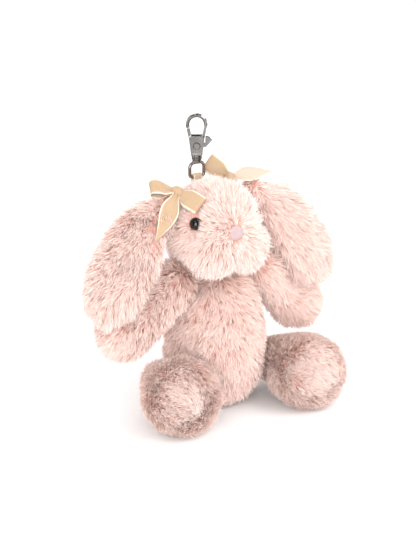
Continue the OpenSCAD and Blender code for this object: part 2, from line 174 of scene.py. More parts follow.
# ---------- body ----------
# A pear of knitted-back faux fur, stuffed with fibrefill over a pouch of pellets
# and closed at the neck and the seat. The pile is brushed down and outwards.


def mesh_points(mesh):
    """The vertices of a mesh, as an array."""
    points = np.empty(len(mesh.vertices) * 3, np.float32)
    mesh.vertices.foreach_get("co", points)
    return points.reshape(-1, 3).astype(float)


def cad_tree(name):
    """A search tree over a CAD node's faces."""
    mesh = frame["nodes"][name].data
    return BVHTree.FromPolygons([v.co.copy() for v in mesh.vertices],
                                [tuple(p.vertices) for p in mesh.polygons])


def wrapped(name, node_name, centre, inset):
    """The outer face of a CAD shell, found by rays towards its centre and drawn in by inset."""
    ball = bpy.data.meshes.new(name)
    made = bmesh.new()
    bmesh.ops.create_icosphere(made, subdivisions=5, radius=1)
    tree = cad_tree(node_name)
    for vertex in made.verts:
        way = vertex.co.normalized()
        hit, _, _, _ = tree.ray_cast(centre + way, -way)
        vertex.co = hit
    made.to_mesh(ball)
    made.free()
    skin = bpy.data.objects.new(name, ball)
    scene.collection.objects.link(skin)
    return settled(skin, inset)


def settled(skin, inset, voxel=1.7 * mm, most=0.9 * mm):
    """Remeshes a skin evenly under the pile, then lets its filling push it out as cloth."""
    bpy.context.view_layer.objects.active = skin
    remesh = skin.modifiers.new("even", "REMESH")
    remesh.mode = "VOXEL"
    remesh.voxel_size = voxel
    skin.modifiers.new("soft", "SMOOTH").iterations = 3
    shrink = skin.modifiers.new("under the pile", "DISPLACE")
    shrink.mid_level = 0
    shrink.strength = -inset
    baked = shown_mesh(skin)
    skin.modifiers.clear()
    skin.data = baked
    cloth = skin.modifiers.new("stuffed", "CLOTH")
    cloth.settings.quality = 4
    cloth.settings.mass = 0.001
    cloth.settings.use_pressure = True
    cloth.settings.uniform_pressure_force = 4
    cloth.settings.effector_weights.gravity = 0
    for step in range(1, 21):
        scene.frame_set(step)
    swollen = mesh_points(shown_mesh(skin))
    skin.modifiers.clear()
    scene.frame_set(1)
    rest = mesh_points(skin.data)
    move = swollen - rest
    far = np.maximum(np.linalg.norm(move, axis=1, keepdims=True), 1e-9)
    skin.data.vertices.foreach_set(
        "co", (rest + move * np.minimum(1, most / far)).astype(np.float32).ravel())
    skin.data.shade_smooth()
    return skin


def shown_mesh(item):
    """A copy of an object's mesh with its modifiers applied."""
    bpy.context.view_layer.update()
    evaluated = item.evaluated_get(bpy.context.evaluated_depsgraph_get())
    return bpy.data.meshes.new_from_object(evaluated)


# Knitted ground of the fur: matt and a deeper rose than the pile, with loops 0.8 mm
# apart that break up the light where the pile parts.
ground, tree, shader = new_material("knitted fur ground")
knit = node(tree, "TexVoronoi", {"Vector": node(tree, "TexCoord").outputs["Object"],
                                 "Scale": 1 / (0.8 * mm)})
hue = node(tree, "Mix", {0: knit.outputs["Distance"], 6: linear("#f7c9ba"), 7: linear("#f0b4a3")},
           data_type="RGBA")
tree.links.new(hue.outputs[2], shader.inputs["Base Color"])
shader.inputs["Roughness"].default_value = 0.95
shader.inputs["Specular IOR Level"].default_value = 0.15

# Acrylic pile: silky fibres, painted a deeper warm pink towards the roots as shade in
# the depth of the pile, and painted paler towards the tips as the light they scatter, so
# that they look almost white. The map that each blade carries gives its warmth across
# and its height upwards.
pile, tree, shader = new_material("long acrylic pile")
place = node(tree, "SeparateXYZ", {0: node(tree, "UVMap", uv_map="OFBake").outputs[0]})
warmth, height = place.outputs[0], place.outputs[1]
root, middle, tip = [
    node(tree, "Mix", {0: warmth, 6: linear(cool), 7: linear(warm)}, data_type="RGBA")
    for cool, warm in (("#f9d3c6", "#f8c0ae"), ("#fce4db", "#fed9cd"), ("#fdefea", "#ffe9e1"))]
rise = node(tree, "MapRange", {0: height, 1: 0.05, 2: 0.55}, interpolation_type="SMOOTHSTEP")
fade = node(tree, "MapRange", {0: height, 1: 0.5, 2: 1.0}, interpolation_type="SMOOTHSTEP")
lower = node(tree, "Mix", {0: rise.outputs[0], 6: root.outputs[2], 7: middle.outputs[2]},
             data_type="RGBA")
whole = node(tree, "Mix", {0: fade.outputs[0], 6: lower.outputs[2], 7: tip.outputs[2]},
             data_type="RGBA")
tree.links.new(whole.outputs[2], shader.inputs["Base Color"])
shader.inputs["Roughness"].default_value = 0.75
shader.inputs["Specular IOR Level"].default_value = 0.2
shader.inputs["Sheen Weight"].default_value = 0.12
shader.inputs["Sheen Roughness"].default_value = 0.5
shader.inputs["Sheen Tint"].default_value = linear("#fff4ee")


def waves(points, size, seed):
    """Smooth noise from -1 to 1 that changes over about size metres."""
    rng = np.random.default_rng(seed)
    ways = rng.normal(size=(7, 3)) * (2.2 / size)
    shifts = rng.uniform(0, 2 * math.pi, 7)
    return np.sin(points @ ways.T + shifts).mean(1) * 1.8


def ramp(x, low, high):
    """0 below low, 1 above high, and smooth between."""
    t = np.clip((x - low) / (high - low), 0, 1)
    return t * t * (3 - 2 * t)


def unit(v):
    """Each row of v at length 1."""
    return v / np.maximum(np.linalg.norm(v, axis=-1, keepdims=True), 1e-9)


def skin_arrays(skin):
    """A skin's corners and smooth normals, one row of three to each triangle."""
    mesh = skin.data
    mesh.calc_loop_triangles()
    points = np.empty(len(mesh.vertices) * 3, np.float32)
    normals = np.empty(len(mesh.vertices) * 3, np.float32)
    corners = np.empty(len(mesh.loop_triangles) * 3, np.int32)
    mesh.vertices.foreach_get("co", points)
    mesh.vertices.foreach_get("normal", normals)
    mesh.loop_triangles.foreach_get("vertices", corners)
    corners = corners.reshape(-1, 3)
    return (points.reshape(-1, 3)[corners].astype(float),
            normals.reshape(-1, 3)[corners].astype(float))


def grow_pile(name, skin, flow, body, seed, tone=0.5, clumps=0.85, length=7.0 * mm,
              keep=None, shorten=None, lift=0.5, parts=1):
    """Grows tufts of fine blades on a skin. flow gives the way the pile is brushed, tone is its
    warmth, clumps the tufts to a square mm, lift how upright it stands, and keep and shorten
    thin and trim it by place."""
    per_tuft = 7
    levels = np.array([0, 0.38, 0.74, 1.0])
    # A real fibre is 0.03 mm thick; a blade stands for a lock of them.
    blade_width, tuft_radius, sunk = 0.30 * mm, 0.95 * mm, 0.35 * mm
    rng = np.random.default_rng(seed)
    tri, tri_normals = skin_arrays(skin)
    area = np.linalg.norm(np.cross(tri[:, 1] - tri[:, 0], tri[:, 2] - tri[:, 0]), axis=1) / 2
    tufts = int(area.sum() / mm ** 2 * clumps)
    chosen = rng.choice(len(area), tufts, p=area / area.sum())
    bary = rng.dirichlet((1, 1, 1), tufts)[:, :, None]
    centre = (tri[chosen] * bary).sum(1)
    normal = unit((tri_normals[chosen] * bary).sum(1))
    if keep is not None:
        kept = keep(centre) > rng.uniform(size=tufts)
        centre, normal = centre[kept], normal[kept]
        tufts = len(centre)

    def across(v, n):
        """The part of v that lies along the skin."""
        return v - (v * n).sum(1, keepdims=True) * n

    swirl = np.stack([waves(centre, 9 * mm, seed + k) for k in (1, 2, 3)], 1)
    fine = np.stack([waves(centre, 3.2 * mm, seed + k) for k in (4, 5, 6)], 1)
    brushed = unit(across(unit(across(flow(centre, normal), normal)) + 0.42 * swirl
                          + 0.30 * fine + 0.12 * rng.normal(size=(tufts, 3)), normal))
    stand = lift + 0.12 * waves(centre, 5 * mm, seed + 7) + 0.10 * rng.normal(size=tufts)
    stand = np.clip(stand, 0.12, 0.95)[:, None]
    start = unit(normal * (0.35 + stand) + brushed * (1 - stand) * 0.8)
    end = unit(normal * (stand - 0.22) + brushed)
    reach = length * (1 + 0.12 * waves(centre, 6 * mm, seed + 8) + 0.13 * rng.normal(size=tufts))
    if shorten is not None:
        reach = reach * shorten(centre)
    side = unit(np.cross(normal, rng.normal(size=(tufts, 3))))
    other = np.cross(normal, side)

    # Blades: each starts beside its tuft's centre and leans in towards its tip.
    def spread(v):
        """A row for each tuft as a row for each of its blades."""
        return np.repeat(v, per_tuft, axis=0)

    blades = tufts * per_tuft
    turn = rng.uniform(0, 2 * math.pi, blades)[:, None]
    out = np.sqrt(rng.uniform(size=blades))[:, None]
    offset = tuft_radius * out * (np.cos(turn) * spread(side) + np.sin(turn) * spread(other))
    blade_length = (spread(reach) * rng.uniform(0.72, 1.06, blades))[:, None]
    stray = rng.normal(size=(blades, 3))
    blade_start = unit(spread(start) + 0.08 * stray)
    blade_end = unit(spread(end) + 0.13 * stray)
    middle_way = unit(blade_start + blade_end)
    facing = unit(np.cross(middle_way, spread(normal) + 0.55 * rng.normal(size=(blades, 3))))
    root_point = spread(centre) + offset - spread(normal) * sunk
    rows = []
    for s in levels:
        along = blade_length * ((s - s * s / 2) * blade_start + s * s / 2 * blade_end)
        middle_line = root_point + along - offset * 0.35 * s
        wide = blade_width / 2 * (1 - 0.25 * s) * facing
        rows += [middle_line] if s == 1 else [middle_line - wide, middle_line + wide]
    points = np.stack(rows, 1)
    above_floor = 0.15 * mm
    points[:, :, 2] = np.maximum(points[:, :, 2], above_floor)
    shade = unit(0.2 * spread(normal) + np.cross(facing, middle_way)
                 + spread(0.12 * rng.normal(size=(tufts, 3))))
    warm = np.clip(tone + 0.13 * waves(spread(centre), 12 * mm, seed + 9)
                   + spread(0.10 * rng.normal(size=tufts))
                   + 0.08 * rng.normal(size=blades), 0.02, 0.98)

    made = []
    for part in range(parts):
        own = slice(part * blades // parts, (part + 1) * blades // parts)
        made.append(blade_mesh(f"{name}_{part + 1}" if parts > 1 else name, points[own],
                               shade[own], warm[own], levels))
        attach(made[-1], body)
    return made


def blade_mesh(name, points, shade, warm, levels):
    """One mesh of tapering blades, with its root-to-tip map and the skin's own shading."""
    count = len(points)
    first = np.arange(count)[:, None] * 7
    quads = np.array([[0, 1, 3, 2], [2, 3, 5, 4]])
    loops = np.concatenate([(first + quads[0]), (first + quads[1]), first + [4, 5, 6]], 1)
    mesh = bpy.data.meshes.new(name)
    mesh.vertices.add(count * 7)
    mesh.vertices.foreach_set("co", points.astype(np.float32).ravel())
    mesh.loops.add(count * 11)
    mesh.loops.foreach_set("vertex_index", loops.astype(np.int32).ravel())
    mesh.polygons.add(count * 3)
    starts = (np.arange(count)[:, None] * 11 + [0, 4, 8]).ravel()
    mesh.polygons.foreach_set("loop_start", starts.astype(np.int32))
    row = np.array([0, 0, 1, 1, 1, 1, 2, 2, 2, 2, 3])
    left = np.array([-1, 1, 1, -1, -1, 1, 1, -1, -1, 1, 0])
    uv = np.empty((count, 11, 2), np.float32)
    uv[:, :, 0] = warm[:, None] + 0.012 * left
    uv[:, :, 1] = levels[row]
    layer = mesh.uv_layers.new(name="OFBake")
    layer.data.foreach_set("uv", uv.ravel())
    custom = mesh.attributes.new("custom_normal", "FLOAT_VECTOR", "POINT")
    custom.data.foreach_set("vector", np.repeat(shade, 7, axis=0).astype(np.float32).ravel())
    mesh.update()
    mesh.materials.append(pile)
    made = bpy.data.objects.new(name, mesh)
    scene.collection.objects.link(made)
    return made


def sewn_on(skin, body, node_name):
    """Puts a stuffed skin on its body, in place of its CAD node."""
    skin.data.materials.append(ground)
    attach(skin, body)
    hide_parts(node_name)


body_skin = wrapped("body_ground", "body_skin", Vector((0, 0, 36)) * mm, 1.0 * mm)
sewn_on(body_skin, "torso", "body_skin")


def down_and_out(points, normals):
    """Down the belly, and a little away from its middle."""
    flow = np.zeros_like(points)
    flow[:, 2] = -1
    flow[:, 0] = 0.35 * np.sign(points[:, 0]) * np.minimum(abs(points[:, 0]) / (12 * mm), 1)
    return flow


def fuller_chest(points):
    """Longer over the chest and shoulders, where the body meets the head."""
    return 1 + 0.35 * ramp(points[:, 2], 50 * mm, 66 * mm)


grow_pile("body_pile", body_skin, down_and_out, "torso", seed=11, tone=0.62, parts=3,
          clumps=1.2, length=6.4 * mm, lift=0.62, shorten=fuller_chest)

# ---------- arms and legs ----------
# Each is a stuffed bag of the same fur, wide at the paw or foot and sewn to the
# body by its narrow end, so that it turns there. The pile is brushed to the end.
hinge = {joint["child"]: Vector(joint["pos_m"]) for joint in frame["joints"]}
# The left arm's pile is given a warmer, deeper tone than the right arm's: painted shade, for the
# arm that lies behind the ear.
for limb, seed, warmth in (("right_arm", 31, 0.45), ("left_arm", 37, 0.72),
                           ("right_leg", 41, 0.25), ("left_leg", 47, 0.25)):
    low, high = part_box(f"{limb}_skin")
    middle = (Vector(low) + Vector(high)) / 2
    skin = wrapped(f"{limb}_ground", f"{limb}_skin", middle, 0.8 * mm)
    sewn_on(skin, limb, f"{limb}_skin")

    def to_the_end(points, normals, way=np.array(middle) - np.array(hinge[limb])):
        """Along the limb, from its seam to its round end."""
        return np.broadcast_to(way, points.shape)

    grow_pile(f"{limb}_pile", skin, to_the_end, limb, seed, tone=warmth, **(
        {"clumps": 1.8, "length": 5.8 * mm, "lift": 0.6, "parts": 2} if "leg" in limb
        else {"clumps": 1.3, "length": 7.6 * mm, "lift": 0.64}))

# ---------- tail ----------
# A fluffy ball sewn to the back, with the pile standing out all round.
low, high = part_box("tail_skin")
tail_middle = (Vector(low) + Vector(high)) / 2
tail_skin = wrapped("tail_ground", "tail_skin", tail_middle, 1.2 * mm)
sewn_on(tail_skin, "torso", "tail_skin")


def hanging(points, normals):
    """Down and a little away from the back."""
    return np.broadcast_to([0, 0.3, -1], points.shape)


grow_pile("tail_pile", tail_skin, hanging, "torso", 53, tone=0.35, clumps=1.0,
          length=7.5 * mm, lift=0.8)

# ---------- head ----------
# A stuffed ball with two full cheeks. The pile is brushed away from the nose,
# up over the forehead and down the cheeks, and trimmed short round eyes and nose.
eye_dome = 2.2 * mm
head_centre = Vector((0, 0, 95)) * mm
head_skin = wrapped("head_ground", "head_skin", head_centre, 1.2 * mm)
sewn_on(head_skin, "torso", "head_skin")


def box_middle(name):
    """The middle of a CAD node's box."""
    low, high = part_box(name)
    return (np.array(low) + np.array(high)) / 2


nose = box_middle("nose_embroidery")
eyes = []
for side in ("right", "left"):
    domed = mesh_points(frame["nodes"][f"{side}_eye"].data)
    way = unit(box_middle(f"{side}_eye") - np.array(head_centre))
    eyes.append(domed[np.argmax(domed @ way)] - eye_dome * way)
ribbons = np.concatenate([mesh_points(frame["nodes"][name].data)[::7] for name in (
    "right_bow_loops", "right_bow_knot", "right_bow_tail",
    "left_bow_loops", "left_bow_knot", "left_bow_tail")])


def nearest(points, others):
    """How far each point is from the nearest of others."""
    return np.sqrt(np.min(((points[:, None] - others[None]) ** 2).sum(2), axis=1))


def off_the_face(points, normals):
    """Away from the nose, up over the forehead and down the cheeks."""
    away = unit(points - (nose + [0, 4 * mm, 1 * mm]))
    below_brow = 1 - ramp(points[:, 2:], 88 * mm, 104 * mm)
    flow = away + [0, 0.1, 0] - 0.9 * below_brow * [0, 0, 1]
    for eye in eyes:
        gone = points - eye
        close = 1 - ramp(np.linalg.norm(gone, axis=1), 4 * mm, 8 * mm)
        flow = flow + 1.6 * unit(gone) * close[:, None]
    return flow


def bare_face(points):
    """Nothing grows under the eyes and the nose."""
    clear = ramp(nearest(points, np.array(eyes)), 3.4 * mm, 3.9 * mm)
    return np.minimum(clear, ramp(np.linalg.norm((points - nose) * [1, 0.5, 1], axis=1),
                                  3.0 * mm, 4.2 * mm))


def trimmed_face(points):
    """Short round the eyes and the nose, long on the jowls, pressed flat under the ribbons."""
    short = 0.45 + 0.55 * ramp(nearest(points, np.array(eyes)), 4 * mm, 9 * mm)
    short = short * (0.6 + 0.4 * ramp(np.linalg.norm(points - nose, axis=1), 4.5 * mm, 10 * mm))
    jowl = ramp(abs(points[:, 0]), 12 * mm, 20 * mm) * (1 - ramp(points[:, 2], 90 * mm, 104 * mm))
    pressed = 0.35 + 0.65 * ramp(nearest(points, ribbons), 3 * mm, 8 * mm)
    return short * (1 + 0.35 * jowl) * pressed


grow_pile("head_pile", head_skin, off_the_face, "torso", 61, tone=0.3, clumps=1.3, parts=3,
          length=7.4 * mm, keep=bare_face, shorten=trimmed_face, lift=0.55)

# ---------- ears ----------
# Long flat lop ears of two layers of fur with a little filling, gathered to a
# narrow root at the top of the head, so they hang and can be lifted.
for side, seed in (("right", 71), ("left", 79)):
    skin = bpy.data.objects.new(f"{side}_ear_ground", frame["nodes"][f"{side}_ear"].data.copy())
    skin.data.materials.clear()
    scene.collection.objects.link(skin)
    settled(skin, 0.6 * mm)
    sewn_on(skin, f"{side}_ear", f"{side}_ear")

    def along_the_ear(points, normals, root=np.array(hinge[f"{side}_ear"])):
        """From the gathered root to the tip."""
        return unit(points - root) + [0, 0, -0.25]

    def pressed_ear(points):
        """Pressed flat under the bow."""
        return 0.3 + 0.7 * ramp(nearest(points, ribbons), 3 * mm, 8.5 * mm)

    grow_pile(f"{side}_ear_pile", skin, along_the_ear, f"{side}_ear", seed, tone=0.4, clumps=1.5,
              length=9.0 * mm, shorten=pressed_ear, lift=0.6, parts=2)

# ---------- eyes ----------
# Domed black plastic, polished, each with a shank through the face that a white
# lock washer grips from behind.

# Moulded, tumbled and lacquered: near black, with flow marks 1.1 mm wide under a
# coat that gives one small sharp highlight.
plastic, tree, shader = new_material("black polished plastic")
swirl = node(tree, "TexNoise", {"Vector": node(tree, "TexCoord").outputs["Object"],
                                "Scale": 1 / (1.1 * mm), "Detail": 2})
tone = node(tree, "Mix", {0: swirl.outputs[0], 6: linear("#060505"), 7: linear("#171413")},
            data_type="RGBA")
tree.links.new(tone.outputs[2], shader.inputs["Base Color"])
shader.inputs["Roughness"].default_value = 0.07
shader.inputs["Coat Weight"].default_value = 0.6
shader.inputs["Coat Roughness"].default_value = 0.04

# Moulded polyethylene: milky and waxy, with cloudy patches 2 mm wide.
washer, tree, shader = new_material("white lock washer")
swirl = node(tree, "TexNoise", {"Vector": node(tree, "TexCoord").outputs["Object"],
                                "Scale": 1 / (2 * mm)})
tone = node(tree, "Mix", {0: swirl.outputs[0], 6: linear("#ecebe6"), 7: linear("#f8f8f4")},
            data_type="RGBA")
tree.links.new(tone.outputs[2], shader.inputs["Base Color"])
shader.inputs["Roughness"].default_value = 0.4


def finished(name, material):
    """Gives a CAD node its one material."""
    mesh = frame["nodes"][name].data
    mesh.materials.clear()
    mesh.materials.append(material)


for side in ("right", "left"):
    finished(f"{side}_eye", plastic)
    finished(f"{side}_eye_washer", washer)

# ---------- nose ----------
# A pad of satin stitch: two dozen upright threads side by side, domed over the
# fabric and sunk between the cheeks.

# Twisted rayon: a soft silky shine, with light and dark painted every 0.7 mm along the
# thread as the highlight and shade on its twisted ply.
thread, tree, shader = new_material("mauve rayon thread")
ply_shine_and_shade = node(tree, "TexNoise", {"Vector": node(tree, "TexCoord").outputs["Object"],
                              "Scale": 1 / (0.7 * mm), "Detail": 2})
tone = node(tree, "Mix", {0: ply_shine_and_shade.outputs[0], 6: linear("#b99fa1"), 7: linear("#d3bcbc")},
            data_type="RGBA")
tree.links.new(tone.outputs[2], shader.inputs["Base Color"])
shader.inputs["Roughness"].default_value = 0.55
shader.inputs["Sheen Weight"].default_value = 0.3


def joined(name, pieces, *materials):
    """One closed object from (points, faces, marks) pieces; marks pick each face's material."""
    points, faces, marks = [], [], []
    for piece_points, piece_faces, piece_marks in pieces:
        first = len(points)
        points += [tuple(p) for p in piece_points]
        faces += [tuple(first + corner for corner in face) for face in piece_faces]
        marks += piece_marks
    made = new_object(name, points, faces, materials[0])
    for material in materials[1:]:
        made.data.materials.append(material)
    made.data.polygons.foreach_set("material_index", marks)
    turned = bmesh.new()
    turned.from_mesh(made.data)
    bmesh.ops.recalc_face_normals(turned, faces=turned.faces)
    turned.to_mesh(made.data)
    turned.free()
    return made


def swept(spine, sideways, outward, offsets, marks):
    """A closed band along a spine; offsets has each station's corners, sideways and outward."""
    stations, corners = offsets.shape[:2]
    points = (spine[:, None] + offsets[:, :, :1] * sideways[:, None]
              + offsets[:, :, 1:] * outward[:, None])
    faces = [(i * corners + j, i * corners + (j + 1) % corners,
              (i + 1) * corners + (j + 1) % corners, (i + 1) * corners + j)
             for i in range(stations - 1) for j in range(corners)]
    faces += [tuple(range(corners)), tuple((stations - 1) * corners + j for j in range(corners))]
    return points.reshape(-1, 3), faces, list(marks) * (stations - 1) + [marks[0]] * 2


stitches = []
rng = np.random.default_rng(5)
low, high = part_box("nose_embroidery")
half_wide, half_high = (high[0] - low[0]) / 2, (high[2] - low[2]) / 2
round_section = np.array([(math.cos(a), math.sin(a)) for a in np.linspace(0, 2 * math.pi, 7)[:-1]])
for x in np.linspace(-0.94, 0.94, 24):
    reach = math.sqrt(1 - x * x)
    z = np.linspace(-reach, reach, 11) + rng.normal(0, 0.02)
    dome = np.sqrt(np.clip(1.05 - x * x - z * z, 0, 1))
    spine = nose + np.stack([np.full(11, x * half_wide) + rng.normal(0, 0.03 * mm, 11),
                             (1.9 - 1.1 * dome) * mm, z * half_high], 1)
    across = np.broadcast_to([1.0, 0, 0], spine.shape)
    ahead = unit(np.cross(across, np.gradient(spine, axis=0)))
    thick = 0.21 * mm * (1 + 0.05 * rng.normal())
    stitches.append(swept(spine, across, ahead, np.broadcast_to(round_section * thick, (11, 6, 2)),
                          [0] * 6))
stitched_nose = joined("nose_stitches", stitches, thread)
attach(stitched_nose, "torso")
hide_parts("nose_embroidery")

# ---------- bows ----------
# Velvet ribbon 10 mm wide with woven satin selvedges: two folded loops and a cut
# tail to each bow, gathered under a knot and sewn on beside the ear.

# Cut rayon pile: dull where it faces the eye and pale where it turns away. It is
# pressed in patches 6 mm wide, painted lighter and darker as the sheen and shade of the
# crushed nap, and its tufts are drawn 0.4 mm apart, twice too coarse.
velvet, tree, shader = new_material("cream velvet")
spot = node(tree, "TexCoord").outputs["Object"]
nap_sheen_and_shade = node(tree, "TexNoise", {"Vector": spot, "Scale": 1 / (6.25 * mm), "Detail": 3})
fibre = node(tree, "TexNoise", {"Vector": spot, "Scale": 1 / (0.385 * mm), "Detail": 2})
shaded = node(tree, "Mix", {0: nap_sheen_and_shade.outputs[0], 6: linear("#b09070"), 7: linear("#c3a78a")},
              data_type="RGBA")
tone = node(tree, "Mix", {0: fibre.outputs[0], 6: shaded.outputs[2], 7: linear("#c6ab8d")},
            data_type="RGBA")
tree.links.new(tone.outputs[2], shader.inputs["Base Color"])
lumps = node(tree, "Bump", {"Height": fibre.outputs[0], "Strength": 0.35, "Distance": 0.2 * mm})
tree.links.new(lumps.outputs[0], shader.inputs["Normal"])
shader.inputs["Roughness"].default_value = 0.85
shader.inputs["Specular IOR Level"].default_value = 0.2
shader.inputs["Sheen Weight"].default_value = 0.22
shader.inputs["Sheen Roughness"].default_value = 0.35
shader.inputs["Sheen Tint"].default_value = linear("#fff3dc")

# The selvedge is a narrow woven satin edge, smoother, paler and a little shiny,
# with a weft thread every 0.45 mm. A wave of scale 1 repeats every pi / 10 metres.
satin, tree, shader = new_material("satin selvedge")
weft = node(tree, "TexWave", {"Vector": node(tree, "TexCoord").outputs["Object"],
                              "Scale": math.pi / 10 / (0.45 * mm), "Distortion": 2})
tone = node(tree, "Mix", {0: weft.outputs[0], 6: linear("#dccfb7"), 7: linear("#ebe1cf")},
            data_type="RGBA")
tree.links.new(tone.outputs[2], shader.inputs["Base Color"])
shader.inputs["Roughness"].default_value = 0.42
shader.inputs["Sheen Weight"].default_value = 0.2

# The back of the ribbon is the plain woven ground, flat and a shade pinker, with
# threads drawn 0.53 mm apart because the real 0.2 mm is too fine to show.
backing, tree, shader = new_material("ribbon ground weave")
cross = node(tree, "TexNoise", {"Vector": node(tree, "TexCoord").outputs["Object"],
                                "Scale": 1 / (0.53 * mm)})
tone = node(tree, "Mix", {0: cross.outputs[0], 6: linear("#cdb39e"), 7: linear("#dac6b5")},
            data_type="RGBA")
tree.links.new(tone.outputs[2], shader.inputs["Base Color"])
shader.inputs["Roughness"].default_value = 0.6
shader.inputs["Sheen Weight"].default_value = 0.15

# Places across the ribbon's half width; the selvedge lies beyond 0.85.
selvedge = 0.85
half_columns = np.array([0.12, 0.36, 0.6, 0.83, 0.87, 0.95, 1])
columns = np.r_[-half_columns[::-1], half_columns]
ribbon_wide, ribbon_thick = 10 * mm, 0.55 * mm


def even_steps(line, step=0.5 * mm):
    """A polyline's points at even steps, and its length."""
    run = np.r_[0, np.cumsum(np.linalg.norm(np.diff(line, axis=0), axis=1))]
    at = np.linspace(0, run[-1], max(int(run[-1] / step), 4) + 1)
    return np.stack([np.interp(at, run, line[:, k]) for k in range(line.shape[1])], 1), run[-1]


def ribbon(spine, outward, width, lift):
    """A length of velvet ribbon: pile outwards, weave behind, a selvedge at each edge."""
    stations = len(spine)
    way = unit(np.gradient(spine, axis=0))
    side = unit(np.cross(way, outward))
    out = np.cross(side, way)
    edge = np.abs(columns) > selvedge
    rise = np.where(edge, 0.3, 1.0) * ribbon_thick / 2
    half = width[:, None] / 2 * columns
    picot = np.where(np.arange(stations) % 2, 1.0, 0.985)[:, None]
    half = np.where(np.abs(columns) == 1, half * picot, half)
    front = np.stack([half, lift + rise], 2)
    back = np.stack([half, lift - np.where(edge, 0.3, 0.55) * ribbon_thick / 2], 2)[:, ::-1]
    middle = np.abs(columns[1:] + columns[:-1]) / 2 < selvedge
    marks = [0 if m else 1 for m in middle] + [1] + [2 if m else 1 for m in middle] + [1]
    return swept(spine, side, out, np.concatenate([front, back], 1), marks)


def crumple(length, stations, depth, seed):
    """Soft creases over a ribbon, as an offset at each station and column."""
    s = np.linspace(0, length, stations)
    grid = np.stack([np.repeat(s, len(columns)), np.tile(columns * ribbon_wide / 2, stations),
                     np.zeros(stations * len(columns))], 1)
    return depth * waves(grid, 5 * mm, seed).reshape(stations, -1)


def ribbon_loop(knot, end, face, puff, depth, seed):
    """A loop that leaves the knot, folds over 4 mm past end and comes back below itself."""
    end, face = np.array(end) * mm, np.array(face, float)
    way = unit(end)
    face = unit(face - (face @ way) * way)
    near, far = 2.4 * mm, np.linalg.norm(end) + 4.2 * mm - puff
    t = np.linspace(0, 1, 30)
    up = 0.5 * mm + (puff - 0.5 * mm) * ramp(t, 0, 0.8)
    turn = np.radians(np.linspace(90, -90, 17))[1:-1]
    flat = np.concatenate([
        np.stack([near + (far - near) * t, up], 1),
        np.stack([far + puff * np.cos(turn), puff * np.sin(turn)], 1),
        np.stack([near + (far - near) * t, -up], 1)[::-1]])
    flat, length = even_steps(flat)
    way_2d = unit(np.gradient(flat, axis=0))
    spine = knot + flat[:, :1] * way + flat[:, 1:] * face
    outward = -way_2d[:, 1:] * way + way_2d[:, :1] * face
    run = np.linspace(0, length, len(flat))
    from_root = np.minimum(run, length - run)
    gathered = 1 - ramp(from_root, 0, 6 * mm)
    width = ribbon_wide * (1 - 0.42 * gathered)
    lift = (0.45 * mm * gathered[:, None] * np.cos(3 * math.pi * columns)
            + crumple(length, len(flat), depth, seed))
    return ribbon(spine, outward, width, lift), length


def ribbon_tail(knot, start, end, face, arch, seed):
    """A tail cut to a point, narrow at the knot and curled a little along its edges."""
    start, end = knot + np.array(start) * mm, knot + np.array(end) * mm
    way, face = unit(end - start), np.array(face, float)
    face = unit(face - (face @ way) * way)
    t = np.linspace(0, 1, 60)[:, None]
    spine, length = even_steps(start + (end - start) * t + face * arch * np.sin(math.pi * t))
    t = np.linspace(0, 1, len(spine))
    gathered = 0.38 + 0.62 * ramp(t, 0, 0.36)
    pointed = 1 - 0.96 * ramp(t, 0.4, 1.12) / ramp(1, 0.4, 1.12)
    width = ribbon_wide * gathered * pointed
    curl = 0.7 * mm * ramp(t, 0.2, 0.6) * width / ribbon_wide
    lift = (0.5 * mm * (1 - ramp(t, 0, 0.4))[:, None] * np.cos(2 * math.pi * columns)
            + curl[:, None] * (columns ** 2 - 0.3)
            + crumple(length, len(spine), 0.25 * mm, seed))
    return ribbon(spine, np.broadcast_to(face, spine.shape), width, lift), length


def wrapped_knot(centre, line, seed):
    """The ribbon wound over the middle of a bow: a tight barrel, with pleats round it."""
    line = unit(np.array(line, float))
    a = unit(np.cross(line, [0.3, -0.8, 0.5]))
    b = np.cross(line, a)
    around, along = 40, np.linspace(-1, 1, 25)
    turn = np.linspace(0, 2 * math.pi, around + 1)[:-1]
    rings = []
    barrel_r, half_length, pleat_depth = 3.2 * mm, 3.3 * mm, 0.24 * mm
    round_it = np.cos(turn)[:, None] * a + 0.85 * np.sin(turn)[:, None] * b
    for v in along:
        radius = barrel_r * math.sqrt(1 - (0.93 * v) ** 2)
        pleat = pleat_depth * np.cos(4.2 * math.pi * v + 0.7 * np.sin(turn + seed)) * (1 - v * v)
        rings.append(centre + half_length * v * line + (radius + pleat)[:, None] * round_it)
    points = np.concatenate(rings)
    faces = [(i * around + j, i * around + (j + 1) % around, (i + 1) * around + (j + 1) % around,
              (i + 1) * around + j) for i in range(len(along) - 1) for j in range(around)]
    faces += [tuple(range(around)), tuple((len(along) - 1) * around + j for j in range(around))]
    return points, faces, [0] * len(faces)


